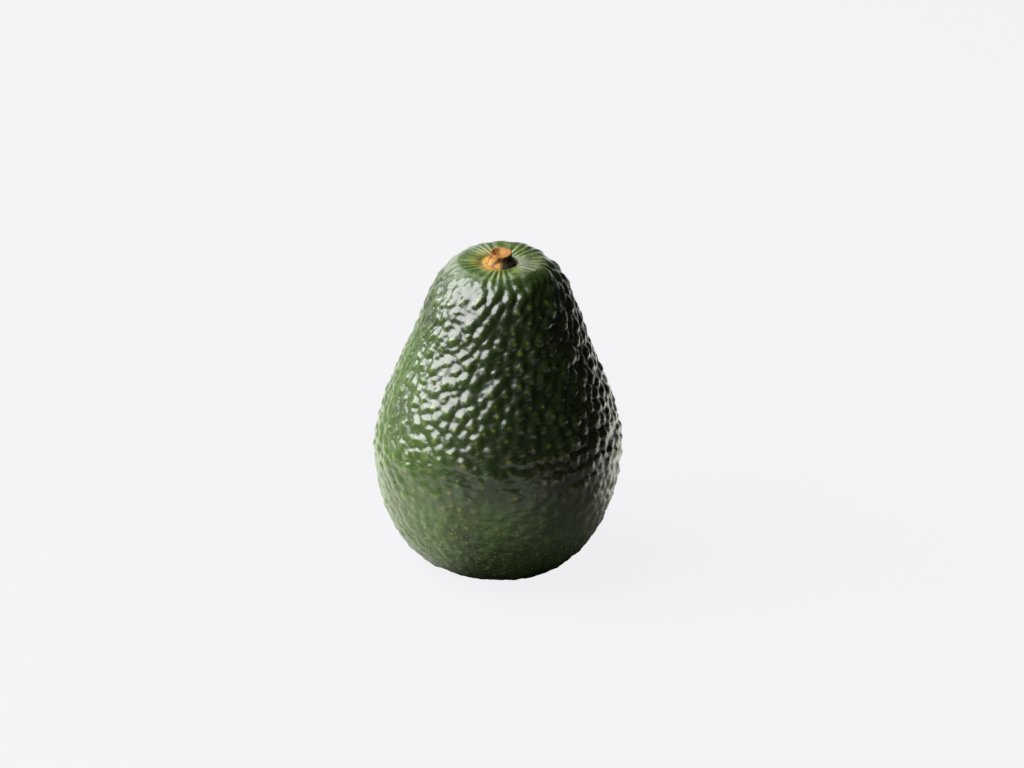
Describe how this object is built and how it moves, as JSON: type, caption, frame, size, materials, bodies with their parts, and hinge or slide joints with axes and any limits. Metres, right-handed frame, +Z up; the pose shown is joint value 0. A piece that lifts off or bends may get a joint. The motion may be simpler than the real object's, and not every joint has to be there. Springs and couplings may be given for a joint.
{
  "type": "avocado",
  "caption": "Whole pear-shaped avocado with pebbled green skin, standing on its broad end, with the cut stub of its stem seated in the dimple at the top.",
  "frame": {"origin": "middle of the small flat spot that the fruit stands on", "axes": "+Z up through the stem end, -Y towards the side that the fruit's top is tipped to, +X to the right as seen from -Y"},
  "size_m": [0.0715, 0.0714, 0.0959],
  "materials": {
    "skin": "glossy, pebbled, dark green with yellow-brown specks",
    "stem_wood": "dry cut stub, tan to brown"
  },
  "bodies": {
    "root": {"fruit": "skin", "stem": "stem_wood"}
  },
  "joints": []
}
